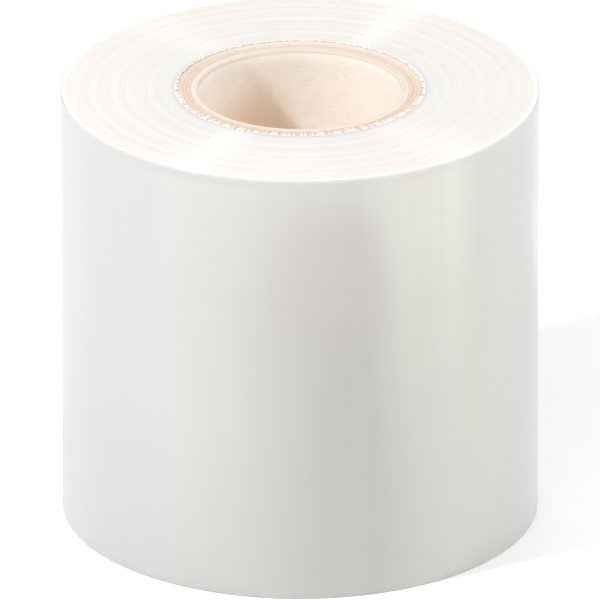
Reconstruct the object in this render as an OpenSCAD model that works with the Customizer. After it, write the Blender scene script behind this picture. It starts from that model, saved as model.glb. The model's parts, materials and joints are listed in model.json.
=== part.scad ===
// Roll of clear sealing film, wound on a spiral cardboard tube and standing on its end.
// The origin is the centre of the lower end, and +Z runs up the axis of the roll.

/* [Film] */
// Outer diameter of the wound film
roll_od = 180; // [150:1:260]
// Width of the film, which is the height of the roll
film_w = 170; // [80:1:400]
// Thickness of the film, which is the step where its outer end stops
film_t = 0.06; // [0.04:0.01:0.15]
// Direction of the film's outer end, counted from +X towards +Y
tail_angle = 128; // [0:1:359]
// Rounding of the outermost turns at each end of the roll
rim_bevel = 0.4; // [0.2:0.1:1.5]

/* [Turns at the ends] */
// Bands of turns that can be told apart on each end
turn_bands = 16; // [4:1:24]
// Most that a band of turns has wandered sideways on the roll
turn_wander = 0.3; // [0.1:0.05:0.5]

/* [Cardboard tube] */
// Bore of the tube, which takes a three inch shaft
bore_d = 76.2; // [70:0.1:80]
// Wall of the tube
tube_wall = 8.9; // [5:0.1:12]
// Depth of the tube's cut ends below the ends of the film
tube_recess = 0.4; // [0.3:0.1:5]
// Bevel that the cutting blade leaves around the bore at each end
bore_bevel = 1; // [0.4:0.1:2]
// Plies of cardboard that the wall is wound from
plies = 6; // [3:1:10]
// Step between one ply and the next on the cut ends
ply_step = 0.12; // [0.05:0.01:0.2]

/* [Hidden] */

$fn = 180;
roll_r = roll_od / 2;
bore_r = bore_d / 2;
tube_r = bore_r + tube_wall;
tube_len = film_w - 2 * tube_recess;
band_w = (roll_r - tube_r) / turn_bands;
ply_w = tube_wall / plies;
// The angle that spreads a rule's values without a repeat
golden_angle = 137.5;
// Material that a cutting shape takes beyond the surface it cuts
overrun = 2;

// How far band i lies above the lowest band: none for the outermost one, which the roll stands on
function band_shift(i) =
    i == turn_bands - 1 ? 0 : turn_wander * (1 - cos((i + 1) * golden_angle)) / 2;

// How far the cut end of ply i lies below the highest ply
function ply_drop(i) = (i % 2) * ply_step;

// Triangle that bevels the lower left corner of a section, with that corner at the origin
module corner_cut(depth) {
    polygon([[-overrun, -overrun], [depth + overrun, -overrun], [-overrun, depth + overrun]]);
}

// Section of the turns, in radius and height: each band keeps the film's full width,
// so a band that stands out at the top is drawn in by as much at the bottom
module turns_section() {
    low_side = [
        for (i = [0 : turn_bands - 1])
            each [
                [tube_r + i * band_w, band_shift(i)],
                [tube_r + (i + 1) * band_w + (i == turn_bands - 1 ? overrun : 0), band_shift(i)],
            ]
    ];
    high_side = [
        for (k = [len(low_side) - 1 : -1 : 0])
            [low_side[k][0], low_side[k][1] + film_w]
    ];
    difference() {
        polygon(concat(low_side, high_side));
        translate([roll_r, 0]) mirror([1, 0]) corner_cut(rim_bevel);
        translate([roll_r, film_w]) rotate(180) corner_cut(rim_bevel);
    }
}

// Outline of the last turn seen along the axis: two half circles whose centres lie half a film
// apart, so they run on from each other on one side and leave a step of one film on the other
module last_turn_outline() {
    reach = 2 * roll_r;
    rotate(tail_angle) {
        intersection() {
            circle(r = roll_r);
            translate([-reach, 0]) square([2 * reach, reach]);
        }
        intersection() {
            translate([-film_t / 2, 0]) circle(r = roll_r - film_t / 2);
            translate([-reach, -reach]) square([2 * reach, reach]);
        }
    }
}

// All turns of the film as one solid, with the end of the last turn as an edge down its side
module film_roll() {
    color([0.95, 0.95, 0.92])
        intersection() {
            rotate_extrude() turns_section();
            translate([0, 0, -overrun])
                linear_extrude(film_w + 2 * overrun) last_turn_outline();
        }
}

// Section of the tube's wall, in radius and height: bevelled at the bore, with a step at each ply
module tube_section() {
    low_side = [
        for (i = [0 : plies - 1])
            each [
                [bore_r + i * ply_w, ply_drop(i)],
                [bore_r + (i + 1) * ply_w, ply_drop(i)],
            ]
    ];
    high_side = [
        for (k = [len(low_side) - 1 : -1 : 0])
            [low_side[k][0], tube_len - low_side[k][1]]
    ];
    difference() {
        polygon(concat(low_side, high_side));
        translate([bore_r, 0]) corner_cut(bore_bevel);
        translate([bore_r, tube_len]) mirror([0, 1]) corner_cut(bore_bevel);
    }
}

// Cardboard tube, cut a little shorter than the film is wide
module core_tube() {
    color([0.93, 0.83, 0.72])
        translate([0, 0, tube_recess])
            rotate_extrude() tube_section();
}

film_roll();
core_tube();
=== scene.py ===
"""A roll of clear sealing film on its cardboard tube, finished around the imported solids."""

import json
import math

import bpy
import numpy as np
from bpy.props import FloatProperty, FloatVectorProperty, IntProperty, PointerProperty
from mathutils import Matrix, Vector


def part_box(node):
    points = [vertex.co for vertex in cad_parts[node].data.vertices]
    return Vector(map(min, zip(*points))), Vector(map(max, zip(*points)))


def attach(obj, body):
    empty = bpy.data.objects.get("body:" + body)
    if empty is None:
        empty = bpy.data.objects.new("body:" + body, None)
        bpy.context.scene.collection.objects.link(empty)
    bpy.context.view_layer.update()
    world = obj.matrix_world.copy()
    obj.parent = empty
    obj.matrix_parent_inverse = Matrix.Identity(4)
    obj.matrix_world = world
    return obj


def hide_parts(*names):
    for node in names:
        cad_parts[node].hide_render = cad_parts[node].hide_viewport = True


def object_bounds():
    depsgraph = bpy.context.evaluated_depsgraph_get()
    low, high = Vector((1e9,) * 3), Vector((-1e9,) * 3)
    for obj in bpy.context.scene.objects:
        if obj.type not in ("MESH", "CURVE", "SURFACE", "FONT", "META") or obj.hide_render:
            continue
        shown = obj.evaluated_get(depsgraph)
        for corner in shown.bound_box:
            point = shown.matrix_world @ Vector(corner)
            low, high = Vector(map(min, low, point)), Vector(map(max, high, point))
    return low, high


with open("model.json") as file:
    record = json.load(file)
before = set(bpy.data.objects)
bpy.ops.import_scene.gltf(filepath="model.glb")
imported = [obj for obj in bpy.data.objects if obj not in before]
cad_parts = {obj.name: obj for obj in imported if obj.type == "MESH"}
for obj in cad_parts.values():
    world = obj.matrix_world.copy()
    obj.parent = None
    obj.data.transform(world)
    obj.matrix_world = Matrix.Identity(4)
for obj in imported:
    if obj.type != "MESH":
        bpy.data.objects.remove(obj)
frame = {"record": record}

bl_info = {
    "name": "Sealing Film Roll",
    "version": (1, 0, 0),
    "blender": (4, 5, 0),
    "location": "View3D > Sidebar > Film Roll",
    "description": "Winds a roll of clear film on a cardboard tube and lights it in a plain studio",
    "category": "Object",
}

BODY = "root"
TAU = 2 * math.pi
MM = 0.001
# The angle that spreads a rule's values without a repeat, as in the part's source
GOLDEN_ANGLE = math.radians(137.5)
CAD_LOW, CAD_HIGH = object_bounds()
ROLL_LOW, ROLL_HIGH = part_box("film_roll")
TUBE_LOW, TUBE_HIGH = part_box("core_tube")


def mount_radius(name):
    """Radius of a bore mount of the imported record, in metres."""
    found = next(m for m in frame["record"]["mounts"] if m["name"] == name)
    return found["dims"]["r_mm"] * MM


ROLL_R = ROLL_HIGH.x
TUBE_R = TUBE_HIGH.x
# The tube lies as deep below the film's upper end as it stands above the lower one
FILM_WIDTH = TUBE_LOW.z + TUBE_HIGH.z
BORE_R = mount_radius("shaft_bore")


class FilmSettings(bpy.types.PropertyGroup):
    """Sizes and colours of the wound film."""

    width: FloatProperty(
        name="Film width", description="Height of the roll on its end",
        default=FILM_WIDTH, min=0.08, max=0.4, unit="LENGTH",
    )
    thickness: FloatProperty(
        name="Film thickness", description="Step where the outer end of the film stops",
        default=0.00006, min=0.00004, max=0.00015, unit="LENGTH",
    )
    tail_angle: FloatProperty(
        name="Tail direction", description="Where the outer end lies, from +X towards +Y",
        default=math.radians(128), subtype="ANGLE",
    )
    tail_lift: FloatProperty(
        name="Tail lift", description="How far the loose edge of the outer end stands off the roll",
        default=0.00028, min=0.0, max=0.002, unit="LENGTH",
    )
    rim_bevel: FloatProperty(
        name="Rim rounding", description="Rounding of the outermost turns at each end",
        default=0.0004, min=0.0, max=0.0015, unit="LENGTH",
    )
    wide_bands: IntProperty(
        name="Bands of turns", description="Groups of turns that wandered sideways together",
        default=16, min=4, max=24,
    )
    wide_wander: FloatProperty(
        name="Wander of the bands", description="Most that a band stands above the lowest one",
        default=0.0003, min=0.0, max=0.0005, unit="LENGTH",
    )
    fine_bands: IntProperty(
        name="Fine ridges", description="Ridges of single turns across each end",
        default=112, min=20, max=160,
    )
    fine_wander: FloatProperty(
        name="Height of the fine ridges", description="Most that one ridge stands above the next",
        default=0.00005, min=0.0, max=0.0002, unit="LENGTH",
    )
    crumple_reach: FloatProperty(
        name="Reach of the crumpled turns", description="How far they hang over the cut board",
        default=0.0046, min=0.0, max=0.008, unit="LENGTH",
    )
    end_color: FloatVectorProperty(
        name="End colour", description="Milky colour of the stacked film edges",
        default=(0.797, 0.771, 0.738), subtype="COLOR", min=0.0, max=1.0, size=3,
    )
    side_color: FloatVectorProperty(
        name="Side colour", description="Colour of the turns seen through the outer film",
        default=(0.603, 0.598, 0.584), subtype="COLOR", min=0.0, max=1.0, size=3,
    )


class TubeSettings(bpy.types.PropertyGroup):
    """Sizes and colours of the cardboard tube."""

    bevel: FloatProperty(
        name="Bore bevel", description="Bevel that the cutting blade leaves around the bore",
        default=0.001, min=0.0004, max=0.002, unit="LENGTH",
    )
    plies: IntProperty(
        name="Plies", description="Plies of cardboard in the wall",
        default=6, min=3, max=10,
    )
    ply_step: FloatProperty(
        name="Ply step", description="Step between one ply and the next on the cut ends",
        default=0.00012, min=0.0, max=0.0002, unit="LENGTH",
    )
    ply_width: FloatProperty(
        name="Ply width", description="Width of the strip that the innermost ply is wound from",
        default=0.115, min=0.05, max=0.2, unit="LENGTH",
    )
    fibres: IntProperty(
        name="Fibres", description="Loose paper fibres around the edges of each cut end",
        default=260, min=0, max=800,
    )
    board_color: FloatVectorProperty(
        name="Board colour", description="Colour of the outer plies on the cut ends",
        default=(0.735, 0.587, 0.474), subtype="COLOR", min=0.0, max=1.0, size=3,
    )
    liner_color: FloatVectorProperty(
        name="Liner colour", description="Colour of the smooth ply inside the bore",
        default=(0.946, 0.872, 0.806), subtype="COLOR", min=0.0, max=1.0, size=3,
    )


class StudioSettings(bpy.types.PropertyGroup):
    """The floor, the light and the camera."""

    floor_color: FloatVectorProperty(
        name="Floor colour", description="Colour of the plain floor",
        default=(0.96, 0.96, 0.95), subtype="COLOR", min=0.0, max=1.0, size=3,
    )
    table: FloatProperty(
        name="Light table", description="Glow of the floor, which keeps its shadows pale",
        default=0.12, min=0.0, max=1.0,
    )
    sky: FloatProperty(
        name="Room light", description="Brightness of the pale room all around",
        default=0.49, min=0.0, max=2.0,
    )
    key: FloatProperty(
        name="Key light", description="Power of the light in front and to the left",
        default=22.2, min=0.0, subtype="POWER",
    )
    front: FloatProperty(
        name="Front panel", description="Power of the panel high in front",
        default=5.2, min=0.0, subtype="POWER",
    )
    back: FloatProperty(
        name="Back panel", description="Power of the panel high at the back",
        default=5.2, min=0.0, subtype="POWER",
    )
    right: FloatProperty(
        name="Right panel", description="Power of the panel to the right",
        default=10.6, min=0.0, subtype="POWER",
    )
    low: FloatProperty(
        name="Low panel", description="Power of the low panel to the right",
        default=1.5, min=0.0, subtype="POWER",
    )
    camera_distance: FloatProperty(
        name="Camera distance", description="From the centre of the upper end",
        default=7.2, min=0.3, unit="LENGTH",
    )
    camera_height: FloatProperty(
        name="Camera elevation", description="Above the plane of the upper end",
        default=math.radians(22.707), subtype="ANGLE",
    )
    camera_tilt: FloatProperty(
        name="Camera tilt", description="Below the horizon",
        default=math.radians(23.341), subtype="ANGLE",
    )
    camera_lens: FloatProperty(
        name="Focal length", description="In millimetres, for a picture 36 mm wide",
        default=1151.0, min=10.0,
    )


class Graph:
    """The nodes of one material or world, which starts empty."""

    def __init__(self, owner):
        owner.use_nodes = True
        self.tree = owner.node_tree
        self.tree.nodes.clear()

    def node(self, kind, settings=None, inputs=None, output=0):
        """Adds a node, sets its settings, then its sockets by name or number, and gives one output."""
        made = self.tree.nodes.new(kind)
        for name, value in (settings or {}).items():
            if name == "stops":
                self.set_stops(made.color_ramp, value)
            else:
                setattr(made, name, value)
        for key, value in (inputs or {}).items():
            if isinstance(value, Value):
                self.tree.links.new(value.socket, made.inputs[key])
            else:
                made.inputs[key].default_value = value
        return Value(self, made.outputs[output]) if made.outputs else None

    @staticmethod
    def set_stops(ramp, stops):
        """Gives a colour ramp these stops, each a place and a colour with alpha."""
        while len(ramp.elements) < len(stops):
            ramp.elements.new(1.0)
        for element, (place, color) in zip(ramp.elements, stops):
            element.position = place
            element.color = color

    def mix(self, factor, first, second):
        """Colour that turns from first to second as factor goes from 0 to 1."""
        settings = {"data_type": "RGBA", "clamp_factor": True}
        return self.node("ShaderNodeMix", settings, {0: factor, 6: first, 7: second}, 2)

    def layers(self, tone, color, shares_and_tints):
        """Lays tints of a colour over a tone, one after another, each by its share."""
        for share, tint in shares_and_tints:
            tone = self.mix(share, tone, tinted(color, *tint))
        return tone

    def place(self):
        """Object coordinates as a vector."""
        return self.node("ShaderNodeTexCoord", output=3)

    def split(self, vector):
        """The three values of a vector."""
        first = self.node("ShaderNodeSeparateXYZ", inputs={0: vector})
        return [Value(self, output) for output in first.socket.node.outputs]

    def join(self, x, y, z):
        """A vector from three values."""
        return self.node("ShaderNodeCombineXYZ", inputs={0: x, 1: y, 2: z})

    def noise(self, vector, scale, detail=2.0, roughness=0.5):
        """Soft noise from 0 to 1 over a vector."""
        inputs = {"Vector": vector, "Scale": scale, "Detail": detail, "Roughness": roughness}
        return self.node("ShaderNodeTexNoise", {"noise_dimensions": "3D"}, inputs)

    def lines(self, value, scale, detail=2.0, roughness=0.5):
        """Noise from 0 to 1 along a single value, which draws lines across it."""
        inputs = {"W": value, "Scale": scale, "Detail": detail, "Roughness": roughness}
        return self.node("ShaderNodeTexNoise", {"noise_dimensions": "1D"}, inputs)

    def bump(self, height, distance, normal=None):
        """Normal of a surface that rises by height times distance, over another normal if one is given."""
        inputs = {"Height": height, "Distance": distance, "Strength": 1.0}
        if normal is not None:
            inputs["Normal"] = normal
        return self.node("ShaderNodeBump", inputs=inputs)

    def finish(self, shader):
        """Makes a shader the one that the material shows."""
        self.node("ShaderNodeOutputMaterial", inputs={"Surface": shader})


class Value:
    """A socket that reads like a number: arithmetic on it adds Math nodes."""

    def __init__(self, graph, socket):
        self.graph = graph
        self.socket = socket

    def math(self, operation, *others):
        """A Math node on this value and the others."""
        inputs = dict(enumerate((self, *others)))
        return self.graph.node("ShaderNodeMath", {"operation": operation}, inputs)

    def __add__(self, other):
        return self.math("ADD", other)

    __radd__ = __add__

    def __sub__(self, other):
        return self.math("SUBTRACT", other)

    def __rsub__(self, other):
        return self * -1 + other

    def __mul__(self, other):
        return self.math("MULTIPLY", other)

    __rmul__ = __mul__

    def __truediv__(self, other):
        return self.math("DIVIDE", other)

    def floor(self):
        """The whole number below."""
        return self.math("FLOOR")

    def fraction(self):
        """What is left above the whole number below."""
        return self.math("FRACT")

    def step(self, low, high):
        """0 below low, 1 above high and straight in between."""
        inputs = {"Value": self, "From Min": low, "From Max": high}
        return self.graph.node("ShaderNodeMapRange", {"clamp": True}, inputs)

    def below(self, low, high):
        """1 below low, 0 above high and straight in between."""
        return 1 - self.step(low, high)

    def between(self, rise, fall):
        """1 between two edges and 0 outside them: each edge is where it starts and where it ends."""
        return self.step(*rise) * self.below(*fall)

    def from_base(self, base):
        """A mask whose 0 is raised to a base, while its 1 stays."""
        return self * (1 - base) + base


def tinted(color, red, green, blue):
    """A colour with its channels times these shares, none above 1, and a full alpha."""
    shares = (red, green, blue)
    return tuple(min(channel * share, 1.0) for channel, share in zip(color, shares)) + (1.0,)


def plain(color):
    """A colour as it is, with a full alpha."""
    return (*color, 1.0)


def new_material(name):
    """An empty material and its graph."""
    material = bpy.data.materials.new(name)
    return material, Graph(material)


def radius_of(x, y):
    """Distance from the roll's axis."""
    return (x * x + y * y).math("SQRT")


def direction_of(x, y):
    """Direction from the roll's axis in radians, from +X towards +Y."""
    return y.math("ARCTAN2", x)


FILM_IOR = 1.5
# Share of light that enters the milky film, and how far its red, green and blue wander there
MILK_WEIGHT = 0.85
MILK_RADII = (1.0, 0.97, 0.92)


def film_end_material(film):
    """Milky edges of hundreds of turns: ring after ring, cooler towards the tube and paler at the rim,
    where a highlight is painted.

    The turns lie as grooves round the axis, so each light draws a streak across them on both sides.
    """
    material, g = new_material("film_edges")
    place = g.place()
    x, y, _ = g.split(place)
    radius = radius_of(x, y)
    broad = g.lines(radius, 260.0, detail=1.0)
    fine = g.lines(radius, 2600.0, detail=3.0, roughness=0.7)
    cloud = g.noise(place, 14.0, detail=2.0)
    near_tube = radius.below(TUBE_R, TUBE_R + 24 * MM)
    # Painted highlight: the outermost turns are paler, as the rounded rim catches the light
    rim = radius.step(ROLL_R - 2.4 * MM, ROLL_R - 0.8 * MM)
    deep = (0.955, 0.955, 0.95)
    tone = g.layers(plain(film.end_color), film.end_color, (
        (near_tube, (0.955, 0.975, 0.985)),
        ((broad - 0.5) * 0.2 + (cloud - 0.5) * 0.3 + 0.12, deep),
        ((fine - 0.42) * 0.3, deep),
        (rim * 0.8, (1.12, 1.15, 1.17)),
    ))
    shader = g.node("ShaderNodeBsdfPrincipled", inputs={
        "Base Color": tone,
        "Roughness": 0.52 + fine * 0.08,
        "IOR": FILM_IOR,
        "Specular IOR Level": 0.6,
        "Anisotropic": 1.0,
        "Anisotropic Rotation": 0.254,
        "Subsurface Weight": MILK_WEIGHT,
        "Subsurface Radius": MILK_RADII,
        "Subsurface Scale": 3 * MM,
        "Normal": g.bump(fine, 0.03 * MM),
    })
    g.finish(shader)
    return material


def crumple_material(film):
    """Thin crumpled film: whitish where it is creased, clearer where it lies flat.

    It is whitest over the board at the front. At the back its step takes a warm light from the board.
    """
    if "film_crumpled" in bpy.data.materials:
        return bpy.data.materials["film_crumpled"]
    material, g = new_material("film_crumpled")
    place = g.place()
    x, y, _ = g.split(place)
    radius = radius_of(x, y)
    creases = g.lines(direction_of(x, y), 34.0, detail=3.0, roughness=0.7)
    cloud = g.noise(place, 240.0, detail=3.0)
    over_board = radius.below(TUBE_R - 0.6 * MM, TUBE_R + 0.4 * MM)
    front = y.below(-0.036, 0.0)
    whiteness = ((creases - 0.34) * 1.6 + (cloud - 0.5) * 0.5) * front.from_base(0.3)
    step_face = radius.below(TUBE_R + 0.02 * MM, TUBE_R + 0.22 * MM)
    end = film.end_color
    tone = g.layers(tinted(end, 0.955, 0.955, 0.955), end, (
        (whiteness * over_board.from_base(0.1), (1.2, 1.2, 1.2)),
        (step_face * y.step(-0.020, 0.010) * 0.9, (1.14, 1.098, 1.038)),
    ))
    shader = g.node("ShaderNodeBsdfPrincipled", inputs={
        "Base Color": tone,
        "Roughness": 0.3 + cloud * 0.15,
        "IOR": FILM_IOR,
        "Normal": g.bump(creases, 0.1 * MM),
    })
    g.finish(shader)
    return material


# Zones of the side by direction, in degrees from +X towards +Y: each pair is where an edge starts and ends
# Painted shade on the front and right, where the key light does not reach, and a darker band at the back
FRONT_SHADE_IN, FRONT_SHADE_OUT = (-106, -82), (-72, -61)
BACK_BAND_IN, BACK_BAND_OUT = (38, 60), (82, 104)
# Painted light: a paler patch on the upper right of the side
PALE_LIGHT_IN, PALE_LIGHT_OUT = (-71, -58), (-46, -26)
BLUSH_IN, BLUSH_OUT = (-100, -86), (-70, -62)
# Painted shade over the place where the right panel is reflected, as seen from the front
GLARE_SHADE_IN, GLARE_SHADE_OUT = (-50, -42), (-32, -24)
GLOW_IN = (-130, -105)
RIM_SHADE_OUT = (-124, -96)
# Painted shade: cooler and darker round +X, and less round -X
RIGHT_FLANK_IN, RIGHT_FLANK_OUT = (-44, -18), (10, 36)
LEFT_FLANK_IN, LEFT_FLANK_OUT = (132, 168), (-146, -122)
# Painted shade in narrow bands round -X and, near the upper end, round +X
RIGHT_EDGE_IN, RIGHT_EDGE_OUT = (-32, -10), (8, 30)
LEFT_EDGE_IN, LEFT_EDGE_OUT = (161, 174), (-172, -158)

# Tints of the side, as shares of its colour, and where they lie in shares of a turn from -X
SIDE_TINTS = {
    "plain": (1.0, 1.0, 1.0),
    "blue": (0.98, 0.995, 1.04),
    "sand": (1.0, 0.985, 0.965),
    "green": (0.975, 1.0, 0.955),
    "rose": (1.02, 0.98, 0.985),
}
TINT_STOPS = (
    (0.0, "blue"), (0.12, "blue"), (0.165, "plain"), (0.20, "sand"), (0.30, "sand"), (0.345, "green"),
    (0.42, "green"), (0.47, "plain"), (0.52, "blue"), (0.65, "rose"), (0.80, "green"), (1.0, "blue"),
)


def film_side_material(film):
    """Clear outer film over the turns below it: glossy, with faint lines round the roll.

    Painted shade darkens the front and right, where the key light does not reach, and painted light makes
    the upper right paler; light from the upper end makes the part below it glow, painted too. A band at the
    back is darker. The zones waver a little with the height.
    """
    material, g = new_material("film_side")
    x, y, z = g.split(g.place())
    depth = film.width - z
    waver = g.noise(g.join(x, y, z * 0.4), 22.0, detail=1.0) - 0.5
    at = direction_of(x, y) * (1 / math.radians(1)) + waver * 4.5
    leaning = at + depth.below(0.02, 0.11) * 6

    # Painted shade on the front and right, away from the key light, fading near the upper end; a darker
    # band at the back
    front_shade_and_back_band = at.step(*FRONT_SHADE_IN) * leaning.below(*FRONT_SHADE_OUT) + at.between(BACK_BAND_IN, BACK_BAND_OUT) * 0.6
    front_shade_and_back_band = front_shade_and_back_band * depth.step(0.008, 0.060).from_base(0.15)
    # The loose zone is painted light: a paler patch at the upper right, fading downwards
    loose = leaning.step(*PALE_LIGHT_IN) * at.below(*PALE_LIGHT_OUT) * depth.below(0.005, 0.100).from_base(0.18)
    glow = depth.below(0.0, 0.050) * at.step(*GLOW_IN) * 0.38
    # Painted shade: cooler and darker round +X, and less round -X, the sides at the outline from the front
    flank_shade = at.between(RIGHT_FLANK_IN, RIGHT_FLANK_OUT)
    flank_shade = flank_shade + (at.below(*LEFT_FLANK_OUT) + at.step(*LEFT_FLANK_IN)) * 0.6
    blush = at.step(*BLUSH_IN) * leaning.below(*BLUSH_OUT) * depth.between((0.008, 0.025), (0.050, 0.075))
    # Painted shade just under the rim, most on the front left
    under_rim_shade = depth.below(0.0010, 0.0050) * (1 - at.step(*RIM_SHADE_OUT) * 0.6)
    # Painted shade in narrow bands at the outline: round -X, and round +X near the upper end
    left_edge_shade = at.below(*LEFT_EDGE_OUT) + at.step(*LEFT_EDGE_IN)
    right_edge_shade = at.between(RIGHT_EDGE_IN, RIGHT_EDGE_OUT) * depth.below(0.02, 0.06)

    streak = g.noise(g.join(x, y, z * 0.03), 120.0, detail=3.0, roughness=0.6)
    drift = g.noise(g.join(x, y, z * 0.10), 12.0, detail=1.0)
    air = g.noise(g.join(x, y, z * 2.5), 38.0, detail=3.0, roughness=0.55)
    lines = g.lines(z, 420.0, detail=4.0, roughness=0.75)
    side = film.side_color
    stops = [(share, tinted(side, *SIDE_TINTS[name])) for share, name in TINT_STOPS]
    turned_by = (at + 180) * (1 / 360) + (drift - 0.5) * 0.06
    tone = g.layers(g.node("ShaderNodeValToRGB", {"stops": stops}, {0: turned_by}), side, (
        (front_shade_and_back_band, (0.86, 0.855, 0.84)),
        # Painted light: the paler patch at the upper right and the glow below the upper end
        (loose * 0.9 + glow, (1.20, 1.195, 1.15)),
        (flank_shade, (0.885, 0.89, 0.91)),
        # Painted shade, a little warm, where the right panel is reflected
        (at.between(GLARE_SHADE_IN, GLARE_SHADE_OUT) * 0.6, (0.965, 0.95, 0.90)),
        (blush * 0.7, (0.95, 0.90, 0.89)),
        # Painted shade: darker just under the rim and towards the foot
        (under_rim_shade + depth.step(0.10, 0.165) * 0.45, (0.88, 0.885, 0.89)),
        (left_edge_shade * 0.75 + right_edge_shade * 0.6, (0.78, 0.785, 0.80)),
        ((air - 0.45) * 0.35 + (streak - 0.45) * 0.9, (0.95, 0.95, 0.945)),
    ))
    shader = g.node("ShaderNodeBsdfPrincipled", inputs={
        "Base Color": tone,
        "Roughness": 0.30 + air * 0.12,
        "IOR": FILM_IOR,
        "Subsurface Weight": MILK_WEIGHT,
        "Subsurface Radius": MILK_RADII,
        "Subsurface Scale": 6 * MM,
        "Coat Weight": 0.6,
        "Coat Roughness": 0.12,
        "Coat IOR": 1.45,
        "Normal": g.bump(air, 0.03 * MM, normal=g.bump(lines, 0.006 * MM)),
    })
    g.finish(shader)
    return material


def board_cut_material(tube):
    """Cut ends of the plies: coarse fibres, a darker glue line between plies, paler towards the bore.

    At the back the outer plies are paler and the inner ones darker, by the light that reaches them.
    """
    material, g = new_material("board_cut")
    place = g.place()
    x, y, _ = g.split(place)
    radius = radius_of(x, y)
    ply = (radius - BORE_R) / ((TUBE_R - BORE_R) / tube.plies)
    in_ply = ply.fraction()
    glue = in_ply.below(0.0, 0.12) + in_ply.step(0.9, 1.0)
    each = g.node("ShaderNodeTexWhiteNoise", {"noise_dimensions": "1D"}, {"W": ply.floor()})
    fibre = g.noise(place, 1500.0, detail=4.0, roughness=0.65)
    blotch = g.noise(place, 190.0, detail=3.0)
    board = tube.board_color
    inner = tube.liner_color
    towards_bore = radius.below(BORE_R + 2.4 * MM, BORE_R + 3.6 * MM)
    tone = g.mix(towards_bore, plain(board), tinted(inner, 0.83, 0.79, 0.765))
    dark = g.mix(towards_bore, tinted(board, 0.8, 0.75, 0.68), tinted(inner, 0.74, 0.68, 0.62))
    tone = g.mix(glue * 0.55 + (fibre - 0.5) * 0.9 + (each - 0.5) * 0.25 + 0.1, tone, dark)
    light = g.mix(towards_bore, tinted(board, 1.1, 1.14, 1.2), tinted(inner, 0.9, 0.87, 0.85))
    tone = g.mix((blotch - 0.5) * 1.4, tone, light)
    back = (y + x * 0.35).step(0.008, 0.036)
    outer_plies = radius.step(BORE_R + 3.2 * MM, BORE_R + 7.9 * MM)
    inner_plies = radius.below(BORE_R + 1.9 * MM, BORE_R + 4.4 * MM)
    tone = g.mix(back * outer_plies, tone, tinted(board, 1.12, 1.24, 1.37))
    tone = g.mix(back * inner_plies * 0.5, tone, tinted(inner, 0.72, 0.66, 0.60))
    shader = g.node("ShaderNodeBsdfPrincipled", inputs={
        "Base Color": tone,
        "Roughness": 0.86 + fibre * 0.1,
        "Specular IOR Level": 0.3,
        "Sheen Weight": 0.1,
        "Normal": g.bump(fibre - glue * 0.5, 0.12 * MM),
    })
    g.finish(shader)
    return material


def board_liner_material(tube):
    """Smooth pale liner of the bore: fibres that lie round it, specks, and the gap between strips.

    Painted shade browns it deep inside, a painted shadow of the rim browns the left of the bore, and
    painted shade darkens its bevels, most at the back.
    """
    material, g = new_material("board_liner")
    place = g.place()
    x, y, z = g.split(place)
    inside = (TUBE_HIGH.z - z).math("MINIMUM", z - TUBE_LOW.z)
    lying = g.join(x, y, z * 3.5)
    fibre = g.noise(lying, 300.0, detail=5.0, roughness=0.75)
    blotch = g.noise(place, 95.0, detail=4.0, roughness=0.65)
    speck = g.node("ShaderNodeTexVoronoi", {"feature": "F1"}, {"Vector": lying, "Scale": 260.0})
    speck = speck.below(0.06, 0.16)
    strip = (z * (1 / seam_lead(tube)) + direction_of(x, y) * (1 / TAU)).fraction()
    near_seam = (strip - 0.5).math("ABSOLUTE").step(0.4965, 0.4995)
    # Painted shadow of the bore's rim from the key light, on the back wall left of the middle: its edge
    # leans with the depth
    leaning = x + (0.030 - inside) * 0.3
    rim_shadow = inside.step(0.004, 0.026) * y.step(-0.030, 0.005)
    rim_shadow = rim_shadow * x.step(-0.034, -0.018).from_base(0.22) * leaning.below(-0.009, 0.001)
    # Painted shade on the bevels at the cut ends, most at the back
    bevel_shade = inside.below(tube.bevel, tube.bevel + 0.6 * MM) * y.step(-0.020, 0.004).from_base(0.15)
    inner = tube.liner_color
    tone = g.layers(plain(inner), inner, (
        ((blotch - 0.42) * 3.0, (1.036, 1.05, 1.07)),
        # Painted shade: browner deep inside and in the rim's painted shadow
        (rim_shadow + inside.step(0.030, 0.060) * 0.5, (1.03, 0.88, 0.69)),
        ((fibre - 0.47) * 2.2 + speck * 0.25 + near_seam * 0.35, (0.86, 0.81, 0.74)),
        (bevel_shade, (0.80, 0.74, 0.69)),
    ))
    shader = g.node("ShaderNodeBsdfPrincipled", inputs={
        "Base Color": tone,
        "Roughness": 0.7 + fibre * 0.16,
        "Specular IOR Level": 0.4,
        "Normal": g.bump(1 - near_seam, 0.1 * MM, normal=g.bump(fibre, 0.05 * MM)),
    })
    g.finish(shader)
    return material


def floor_material(studio):
    """Plain pale floor that glows a little, with a tone that drifts by a hundredth."""
    material, g = new_material("studio_floor")
    base = studio.floor_color
    tone = g.mix(g.noise(g.place(), 1.5), plain(base), tinted(base, 0.99, 0.99, 0.99))
    g.finish(g.node("ShaderNodeBsdfPrincipled", inputs={
        "Base Color": tone,
        "Roughness": 0.75,
        "Specular IOR Level": 0.2,
        "Emission Color": tone,
        "Emission Strength": studio.table,
    }))
    return material


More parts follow.
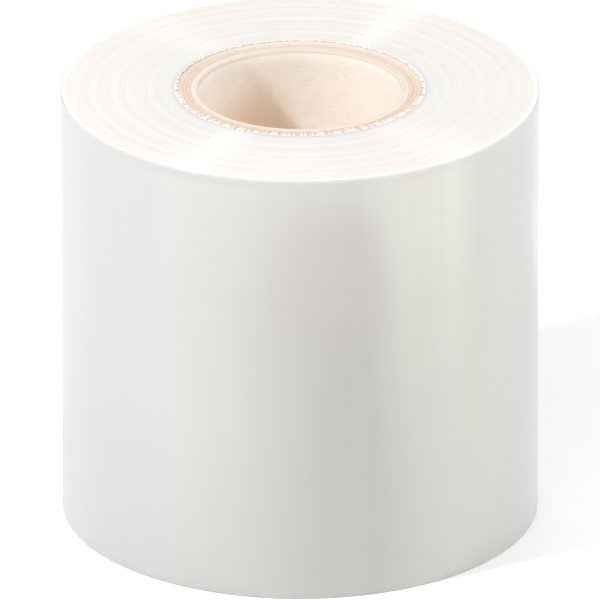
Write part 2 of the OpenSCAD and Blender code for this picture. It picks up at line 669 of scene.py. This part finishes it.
def mesh_piece(name, points, faces, materials, face_slots=None):
    """A mesh object from an array of points and an array of faces, whose faces point outwards.

    The sign of the closed volume, a sum over the faces' triangles of the product of their corners,
    says which way they point.
    """
    corners = points[faces]
    volume = 0.0
    for second in range(1, faces.shape[1] - 1):
        normals = np.cross(corners[:, second], corners[:, second + 1])
        volume += np.einsum("ij,ij->i", corners[:, 0], normals).sum()
    if volume < 0:
        faces = faces[:, ::-1]
    mesh = bpy.data.meshes.new(name)
    mesh.from_pydata(points.tolist(), [], faces.tolist())
    for material in materials:
        mesh.materials.append(material)
    mesh.polygons.foreach_set("use_smooth", np.ones(len(faces), bool))
    if face_slots is not None:
        mesh.polygons.foreach_set("material_index", face_slots.astype(np.int32))
    mesh.update()
    piece = bpy.data.objects.new(name, mesh)
    bpy.context.scene.collection.objects.link(piece)
    return piece


def ring_faces(rows, columns):
    """Faces of a grid that closes on itself both ways, as the skin of a ring does."""
    i, j = np.meshgrid(np.arange(rows), np.arange(columns), indexing="ij")
    i_next, j_next = (i + 1) % rows, (j + 1) % columns
    corners = [i * columns + j, i_next * columns + j, i_next * columns + j_next, i * columns + j_next]
    return np.stack(corners, axis=-1).reshape(-1, 4)


def turned(radii, heights, angles):
    """Points of a grid whose place is (radius cos angle, radius sin angle, height), as one list."""
    shape = np.broadcast_shapes(radii.shape, heights.shape, angles.shape)
    radii, heights, angles = (np.broadcast_to(a, shape) for a in (radii, heights, angles))
    return np.stack([radii * np.cos(angles), radii * np.sin(angles), heights], axis=-1).reshape(-1, 3)


def ripple(values, waves, seed):
    """Smooth noise about zero: a sum of sines with seeded phases, one for each (count, share) of waves."""
    phases = np.random.default_rng(seed).uniform(0, TAU, len(waves))
    return sum(share * np.sin(values * count + phase) for (count, share), phase in zip(waves, phases))


def eased(share):
    """A share from 0 to 1 with soft ends: three times its square less twice its cube."""
    return share * share * (3 - 2 * share)


def rise_of_band(band, count):
    """Half of one less the cosine of the band's golden angle, and none for the outermost band."""
    return np.where(band >= count - 1, 0, (1 - np.cos((band + 1) * GOLDEN_ANGLE)) / 2)


def band_shift(radius, film):
    """How far the turns at a radius lie above the outermost ones.

    Wide bands follow the solid's own rule and run into each other over their outer halves, and fine
    bands take away a smaller ridge by the same rule. Both ease in outside the crumpled first turns.
    """
    plain_from, ease = 1.4 * MM, 2 * MM
    share = np.clip((radius - TUBE_R) / (ROLL_R - TUBE_R), 0, 1 - 1e-6)
    place = share * film.wide_bands
    band = np.floor(place)
    blend = eased(np.clip((place - band - 0.5) / 0.5, 0, 1))
    this_rise = rise_of_band(band, film.wide_bands)
    next_rise = rise_of_band(band + 1, film.wide_bands)
    wide_shift = film.wide_wander * (this_rise * (1 - blend) + next_rise * blend)
    fine_shift = film.fine_wander * rise_of_band(np.floor(share * film.fine_bands), film.fine_bands)
    outermost = band == film.wide_bands - 1
    beyond_crumple = np.clip((radius - TUBE_R - plain_from) / ease, 0, 1)
    return (wide_shift - np.where(outermost, 0, fine_shift)) * beyond_crumple


def end_radii(film, count):
    """Radii of the rows on an end: two close together at each of count steps, from tube to rim."""
    edges = np.linspace(TUBE_R, ROLL_R - film.rim_bevel, count + 1)
    gap = (edges[1] - edges[0]) * 0.12
    pairs = np.stack([edges[:-1] + gap, edges[1:] - gap], axis=-1).ravel()
    return np.concatenate([[TUBE_R], pairs])


def film_profile(film):
    """Radii, heights and material slots of the profile's rows, once round the film's section.

    It runs out over the lower end, up the side between two rounded rims, and back in to the tube.
    """
    low_steps, side_rows, rim_rows, wall_rows = 66, 44, 4, 4
    bevel = film.rim_bevel
    low_radii = end_radii(film, low_steps)
    high_radii = end_radii(film, film.fine_bands)[::-1]
    quarter = np.linspace(0, math.pi / 2, rim_rows + 1)
    rim_radii = ROLL_R - bevel + bevel * np.sin(quarter)
    rim_heights = bevel * (1 - np.cos(quarter))
    side = np.linspace(bevel, film.width - bevel, side_rows + 2)[1:-1]
    wall = np.linspace(film.width, 0, wall_rows + 2)[1:-1]
    radii = np.concatenate([
        low_radii, rim_radii, np.full(side_rows, ROLL_R), rim_radii[::-1],
        high_radii, np.full(wall_rows, TUBE_R),
    ])
    heights = np.concatenate([
        np.clip(band_shift(low_radii, film), 0, None), rim_heights, side, film.width - rim_heights[::-1],
        film.width + band_shift(high_radii, film), wall,
    ])
    slots = np.concatenate([
        np.zeros(len(low_radii)), np.ones(2 * len(quarter) + side_rows),
        np.zeros(len(high_radii) + wall_rows),
    ])
    return radii, heights, slots


def wind_film(film):
    """The wound film: a profile of both ends, rims and side, carried round the axis.

    The outer radius is R over one half turn and R - t/2 (1 + cos a) over the other, where a is the
    angle from the tail, so the last turn ends in a step of one film. The loose edge stands off by a lift
    that dies away exponentially with that angle, and flares towards the ends. A sum of sines of the
    height makes the side hollow here and there by hundredths of a millimetre.
    """
    columns = 216
    tail_gap, lip_reach = math.radians(0.03), math.radians(1.8)
    hollow, even, ease = 0.015 * MM, 0.016 * MM, 4 * MM
    radii, heights, row_slots = film_profile(film)
    from_tail = np.linspace(0, TAU - tail_gap, columns)
    turn = np.where(from_tail < math.pi, 0, -film.thickness / 2 * (1 + np.cos(from_tail)))
    lip = film.tail_lift * np.exp(-from_tail / lip_reach)
    flare = 0.45 + 0.55 * np.abs(2 * heights / film.width - 1) ** 3
    gauge = hollow * ripple(heights / film.width, [(23, 0.4), (41, 0.3), (67, 0.2), (113, 0.1)], 3) - even
    gauge = gauge * np.clip(heights / ease, 0, 1) * np.clip((film.width - heights) / ease, 0, 1)
    outer = np.clip((radii - ROLL_R + film.rim_bevel) / film.rim_bevel, 0, 1)
    shift = turn[None, :] + lip[None, :] * flare[:, None] + gauge[:, None]
    radii = radii[:, None] + outer[:, None] * shift
    points = turned(radii, heights[:, None], (from_tail + film.tail_angle)[None, :])
    materials = [film_end_material(film), film_side_material(film)]
    faces = ring_faces(len(heights), columns)
    return mesh_piece("wound_film", points, faces, materials, np.repeat(row_slots, columns))


def seam_lead(tube):
    """Height that the innermost strip climbs in one turn: its width over the cosine of its slant."""
    slant = math.asin(tube.ply_width / (TAU * BORE_R))
    return tube.ply_width / math.cos(slant)


def wind_tube(tube):
    """The cardboard tube: bore, bevels and stepped plies as one profile carried round the axis.

    The bevel's line bulges as half a sine. The cut ends sink by as much as a half sine across each ply,
    and rise and fall by some hundredths of a millimetre with the angle, as a blade leaves them.
    """
    columns, wall_rows, bevel_rows, ply_rows = 360, 40, 6, 5
    outer_gap, ply_gap, sunk, skirt = 0.03 * MM, 0.06 * MM, 0.03 * MM, 1 * MM
    tooth_height, wave_height = 0.035 * MM, 0.04 * MM
    low, high = TUBE_LOW.z, TUBE_HIGH.z
    ply_w = (TUBE_R - BORE_R) / tube.plies
    outer_r = TUBE_R - outer_gap
    along_bevel = np.linspace(0, 1, bevel_rows)
    bulge = 0.084 * np.sin(along_bevel * math.pi) * tube.bevel
    bevel_radii = BORE_R + tube.bevel * (1 - along_bevel) - bulge
    bevel_depth = tube.bevel * along_bevel - bulge

    starts = BORE_R + np.arange(tube.plies) * ply_w
    starts[0] = BORE_R + tube.bevel
    ends = BORE_R + np.arange(1, tube.plies + 1) * ply_w
    ends[-1] = outer_r
    across = np.linspace(0, 1, ply_rows)
    cut_radii = ((starts + ply_gap)[:, None] * (1 - across) + (ends - ply_gap)[:, None] * across).ravel()
    drops = (np.arange(tube.plies) % 2) * tube.ply_step
    cut_depth = np.repeat(drops, ply_rows) - np.tile(np.sin(across * math.pi) * sunk, tube.plies)

    bore_rows = np.linspace(low + tube.bevel, high - tube.bevel, wall_rows)[1:-1]
    radii = np.concatenate([
        cut_radii[::-1], bevel_radii, np.full(len(bore_rows), BORE_R), bevel_radii[::-1], cut_radii,
        [outer_r, outer_r],
    ])
    depth = np.concatenate([cut_depth[::-1], bevel_depth])
    heights = np.concatenate([low + depth, bore_rows, high - depth[::-1], [high - skirt, low + skirt]])
    angles = np.linspace(0, TAU, columns, endpoint=False)
    tooth = ripple(angles, [(29, 0.3), (53, 0.3), (97, 0.4), (131, 0.3)], 8)
    wave = ripple(angles, [(2, 0.6), (5, 0.3), (11, 0.2)], 9)
    at_cut = np.clip((radii - BORE_R - tube.bevel * 0.5) / tube.bevel, 0, 1) * (radii < outer_r)
    side = np.where(heights > (low + high) / 2, 1, -1)
    lift = (at_cut * side)[:, None] * (tooth * tooth_height + wave * wave_height)[None, :]
    points = turned(radii[:, None], heights[:, None] + lift, angles[None, :])
    liner_rows = np.zeros(len(radii))
    liner_rows[len(cut_radii) + 1 : len(radii) - len(cut_radii) - 4] = 1
    materials = [board_cut_material(tube), board_liner_material(tube)]
    faces = ring_faces(len(radii), columns)
    return mesh_piece("cardboard_tube", points, faces, materials, np.repeat(liner_rows, columns))


def crumple_turns(film, end, seed):
    """The innermost turns at one end, crumpled where the winding began.

    A strip round the tube whose inner edge is cut in uneven fingers that lie over the cut board,
    longest at the front. Its cross section is a closed loop: from the fingertip over creases to the
    plain turns, and back beneath. Creases run along the fingers, as a sum of sines of the angle, and
    the strip falls to the board by the square of its way in from the film's edge.
    """
    columns, rows = 2000, 12
    outer_reach, tuck, sheet = 0.5 * MM, 0.02 * MM, 0.05 * MM
    fall_depth, lowest, below, sunk_edge = 0.42 * MM, -0.37 * MM, -0.39 * MM, -0.06 * MM
    rest, swelling, foot = 0.012 * MM, 0.12 * MM, -1.5 * MM
    angles = np.linspace(0, TAU, columns, endpoint=False)
    cuts = ripple(angles, [(47, 0.5), (83, 0.6), (131, 0.5), (193, 0.4), (277, 0.3)], seed)
    finger = eased(np.clip(0.5 + 1.6 * cuts, 0, 1))
    front = 0.5 - 0.5 * np.sin(angles)
    patchy = ripple(angles, [(4, 0.5), (9, 0.5), (17, 0.4)], seed + 1)
    share = np.clip(1.15 * front ** 1.4 - 0.08 + 0.12 * patchy, 0.10, 1.0)
    ragged = 1 + 0.12 * ripple(angles, [(311, 0.5), (433, 0.5)], seed + 6)
    reach = film.crumple_reach * share * (0.16 + 0.84 * finger) * ragged
    inner, outer = TUBE_R - reach, TUBE_R + outer_reach

    across = np.linspace(0, 1, rows)[:, None]
    sway = angles + 0.004 * np.sin(np.arange(rows))[:, None]
    crease = ripple(sway, [(59, 0.4), (101, 0.5), (167, 0.5), (263, 0.4)], seed + 2)
    swell = np.sin(np.clip(across * 1.25, 0, 1) * math.pi) ** 0.6
    height = rest + swelling * swell * (1 + 0.75 * crease)
    top_r = inner + across * (outer - inner)
    fall = np.clip((TUBE_R + tuck - top_r) / (reach + tuck), 0, 1)
    dip = fall_depth * fall ** 2 * (1 + 0.2 * crease)
    top_z = np.clip(height - dip, lowest, CAD_HIGH.z - film.width - tuck)
    top_z[-1] = sunk_edge

    even = np.ones(columns)
    wall_r = (TUBE_R + tuck) * even
    low_r = np.stack([(outer + tuck) * even, wall_r, wall_r, inner + 0.03 * MM])
    low_z = np.stack([foot * even, foot * even, below * even, top_z[0] - sheet])
    radii = np.concatenate([top_r, low_r])
    heights = np.concatenate([top_z, low_z])
    heights = film.width + heights if end > 0 else CAD_HIGH.z - film.width - heights
    points = turned(radii, heights, angles[None, :])
    name = "first_turns_top" if end > 0 else "first_turns_bottom"
    return mesh_piece(name, points, ring_faces(len(radii), columns), [crumple_material(film)])


def fibre_hairs(tube, seed=21):
    """Loose fibres on the edges of the cut ends: thin round hairs that bend as a parabola.

    A hair's centre line is its root plus length times s along a lean, plus s squared of a curl, and its
    radius falls as the root of one less s to the fourth.
    """
    rings, sides = 6, 4
    hair_radius, clear_of_box, sunk = 0.018 * MM, (0.03 * MM, 0.01 * MM), 0.12 * MM
    random = np.random.default_rng(seed)
    count = 2 * tube.fibres
    angle = random.uniform(0, TAU, count)
    at_bore = random.uniform(0, 1, count) < 0.3
    bevel_root = BORE_R + tube.bevel * random.uniform(0.1, 1.1, count)
    rim_root = random.uniform(TUBE_R - 4 * MM, TUBE_R - 0.2 * MM, count)
    root_r = np.where(at_bore, bevel_root, rim_root)
    up = np.where(np.arange(count) < tube.fibres, 1.0, -1.0)
    on_bevel = np.clip(BORE_R + tube.bevel - root_r, 0, None) + 0.08 * MM
    root_z = np.where(up > 0, TUBE_HIGH.z, TUBE_LOW.z) - up * np.where(at_bore, on_bevel, sunk)

    none = np.zeros(count)
    out = np.stack([np.cos(angle), np.sin(angle), none], axis=-1)
    along = np.stack([-np.sin(angle), np.cos(angle), none], axis=-1)
    rise = np.stack([none, none, up], axis=-1)
    lean = random.normal(0, 0.5, (count, 1)) * out + random.normal(0, 1, (count, 1)) * along
    lean = lean + random.uniform(0.1, 0.55, (count, 1)) * rise
    lean /= np.linalg.norm(lean, axis=1, keepdims=True)
    curl = random.normal(0, 0.5, (count, 1)) * out + random.normal(0, 0.5, (count, 1)) * along - 0.35 * rise
    length = random.uniform(0.3 * MM, 1.1 * MM, (count, 1, 1))
    s = np.linspace(0, 1, rings)
    root = root_r[:, None] * out + np.stack([none, none, root_z], axis=-1)
    way = s[None, :, None]
    line = root[:, None, :] + length * (way * lean[:, None, :] + 0.45 * way ** 2 * curl[:, None, :])

    thick = hair_radius * np.sqrt(np.clip(1 - s ** 4, 0, 1))
    thick[0] = 0.0
    side_a = np.cross(lean, rise)
    side_a /= np.linalg.norm(side_a, axis=1, keepdims=True) + 1e-12
    side_b = np.cross(lean, side_a)
    turn = np.linspace(0, TAU, sides, endpoint=False)[None, :, None]
    circle = np.cos(turn) * side_a[:, None, :] + np.sin(turn) * side_b[:, None, :]
    points = line[:, :, None, :] + thick[None, :, None, None] * circle[:, None, :, :]
    points[..., 2] = np.clip(points[..., 2], CAD_LOW.z + clear_of_box[0], CAD_HIGH.z - clear_of_box[1])
    i, j = np.meshgrid(np.arange(rings - 1), np.arange(sides), indexing="ij")
    j_next = (j + 1) % sides
    quad = [i * sides + j, i * sides + j_next, (i + 1) * sides + j_next, (i + 1) * sides + j]
    quad = np.stack(quad, axis=-1).reshape(-1, 4)
    faces = (quad[None] + (np.arange(count) * rings * sides)[:, None, None]).reshape(-1, 4)
    return mesh_piece("board_fibres", points.reshape(-1, 3), faces, [bpy.data.materials["board_cut"]])


def settle(piece, slot, *nodes):
    """Makes a finished piece ride on the roll and stand for CAD nodes; the slot is not used."""
    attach(piece, BODY)
    if nodes:
        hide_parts(*nodes)


class FILMROLL_OT_film(bpy.types.Operator):
    """Wind the film and crumple its first turns"""

    bl_idname = "filmroll.film"
    bl_label = "Wind the film"

    def execute(self, context):
        film = context.scene.filmroll_film
        settle(wind_film(film), "clear_film", "film_roll")
        settle(crumple_turns(film, 1, 40), "clear_film")
        settle(crumple_turns(film, -1, 70), "clear_film")
        return {"FINISHED"}


class FILMROLL_OT_tube(bpy.types.Operator):
    """Wind the cardboard tube"""

    bl_idname = "filmroll.tube"
    bl_label = "Wind the tube"

    def execute(self, context):
        settle(wind_tube(context.scene.filmroll_tube), "core_board", "core_tube")
        return {"FINISHED"}


class FILMROLL_OT_fibres(bpy.types.Operator):
    """Raise loose fibres on the cut ends of the tube"""

    bl_idname = "filmroll.fibres"
    bl_label = "Raise the fibres"

    def execute(self, context):
        if "board_cut" not in bpy.data.materials:
            raise RuntimeError("wind the tube before raising its fibres")
        settle(fibre_hairs(context.scene.filmroll_tube), "core_board")
        return {"FINISHED"}


LIGHTS_AIM = Vector((0, 0, 0.08))


def soft_panel(name, place, size, power):
    """A square white area light at a place, aimed at the middle of the roll."""
    data = bpy.data.lights.new(name, "AREA")
    data.shape = "SQUARE"
    data.size = size
    data.energy = power
    light = bpy.data.objects.new(name, data)
    light.location = place
    light.rotation_euler = (Vector(place) - LIGHTS_AIM).to_track_quat("Z", "Y").to_euler()
    bpy.context.scene.collection.objects.link(light)


def towards(azimuth, elevation, distance):
    """The point at this distance from the origin, by azimuth from +X and elevation, in degrees."""
    a, e = math.radians(azimuth), math.radians(elevation)
    away = distance * math.cos(e)
    return (away * math.cos(a), away * math.sin(a), distance * math.sin(e))


class FILMROLL_OT_studio(bpy.types.Operator):
    """Lay the floor, set the lights and place the camera"""

    bl_idname = "filmroll.studio"
    bl_label = "Set the studio"

    def execute(self, context):
        studio = context.scene.filmroll_studio
        lay_floor(studio)
        light_room(studio)
        place_camera(studio)
        return {"FINISHED"}


def lay_floor(studio):
    """A round floor under the roll: one disc of points on a circle."""
    sides, reach = 96, 5.0
    angles = np.linspace(0, TAU, sides, endpoint=False)
    rim = np.stack([reach * np.cos(angles), reach * np.sin(angles), np.zeros(sides)], axis=-1)
    mesh = bpy.data.meshes.new("floor")
    mesh.from_pydata(rim.tolist(), [], [list(range(sides))])
    mesh.materials.append(floor_material(studio))
    floor = bpy.data.objects.new("floor", mesh)
    bpy.context.scene.collection.objects.link(floor)


def light_room(studio):
    """A pale room, a small key light on the left, and soft panels in front, behind and on the right.

    A light's row gives its azimuth and elevation in degrees, its distance and size in metres, and its
    power.
    """
    world = bpy.data.worlds.new("pale_room")
    bpy.context.scene.world = world
    g = Graph(world)
    room = g.node("ShaderNodeBackground", inputs={"Color": (1, 1, 1, 1), "Strength": studio.sky})
    g.node("ShaderNodeOutputWorld", inputs={"Surface": room})
    for name, azimuth, elevation, distance, size, power in (
        ("key", 211, 42, 2.0, 0.16, studio.key),
        ("front_panel", 270, 60, 2.0, 1.0, studio.front),
        ("back_panel", 90, 50, 2.0, 1.0, studio.back),
        ("right_panel", 0, 32, 1.8, 0.8, studio.right),
        ("low_panel", 355, 14, 1.8, 1.0, studio.low),
    ):
        soft_panel(name, towards(azimuth, elevation, distance), size, power)


# Width of the picture in the camera, in millimetres, which the focal length goes with
SENSOR_WIDTH = 36.0


def place_camera(studio):
    """The camera at the photograph's angle, from its distance and elevation about the upper end."""
    data = bpy.data.cameras.new("camera")
    data.sensor_width = SENSOR_WIDTH
    data.lens = studio.camera_lens
    data.clip_start = 0.05
    camera = bpy.data.objects.new("camera", data)
    back = studio.camera_distance * math.cos(studio.camera_height)
    rise = studio.camera_distance * math.sin(studio.camera_height)
    camera.location = (0.0, -back, bpy.context.scene.filmroll_film.width + rise)
    camera.rotation_euler = (math.pi / 2 - studio.camera_tilt, 0.0, 0.0)
    bpy.context.scene.collection.objects.link(camera)
    bpy.context.scene.camera = camera
    bpy.context.scene.view_settings.view_transform = "Standard"


class FILMROLL_PT_panel(bpy.types.Panel):
    """Sizes, colours and steps of the roll in the sidebar"""

    bl_idname = "FILMROLL_PT_panel"
    bl_label = "Film Roll"
    bl_space_type = "VIEW_3D"
    bl_region_type = "UI"
    bl_category = "Film Roll"

    def draw(self, context):
        scene = context.scene
        for group, steps in (
            (scene.filmroll_film, ("filmroll.film",)),
            (scene.filmroll_tube, ("filmroll.tube", "filmroll.fibres")),
            (scene.filmroll_studio, ("filmroll.studio",)),
        ):
            box = self.layout.box()
            for name in group.__annotations__:
                box.prop(group, name)
            for step in steps:
                box.operator(step)


CLASSES = (
    FilmSettings,
    TubeSettings,
    StudioSettings,
    FILMROLL_OT_film,
    FILMROLL_OT_tube,
    FILMROLL_OT_fibres,
    FILMROLL_OT_studio,
    FILMROLL_PT_panel,
)


def register():
    """Registers the classes and hangs the settings on the scene."""
    for each in CLASSES:
        bpy.utils.register_class(each)
    bpy.types.Scene.filmroll_film = PointerProperty(type=FilmSettings)
    bpy.types.Scene.filmroll_tube = PointerProperty(type=TubeSettings)
    bpy.types.Scene.filmroll_studio = PointerProperty(type=StudioSettings)


def unregister():
    """Takes back what register did."""
    for name in ("filmroll_film", "filmroll_tube", "filmroll_studio"):
        delattr(bpy.types.Scene, name)
    for each in reversed(CLASSES):
        bpy.utils.unregister_class(each)


def main():
    register()
    bpy.ops.filmroll.film()
    bpy.ops.filmroll.tube()
    bpy.ops.filmroll.fibres()
    bpy.ops.filmroll.studio()


if __name__ == "__main__":
    main()
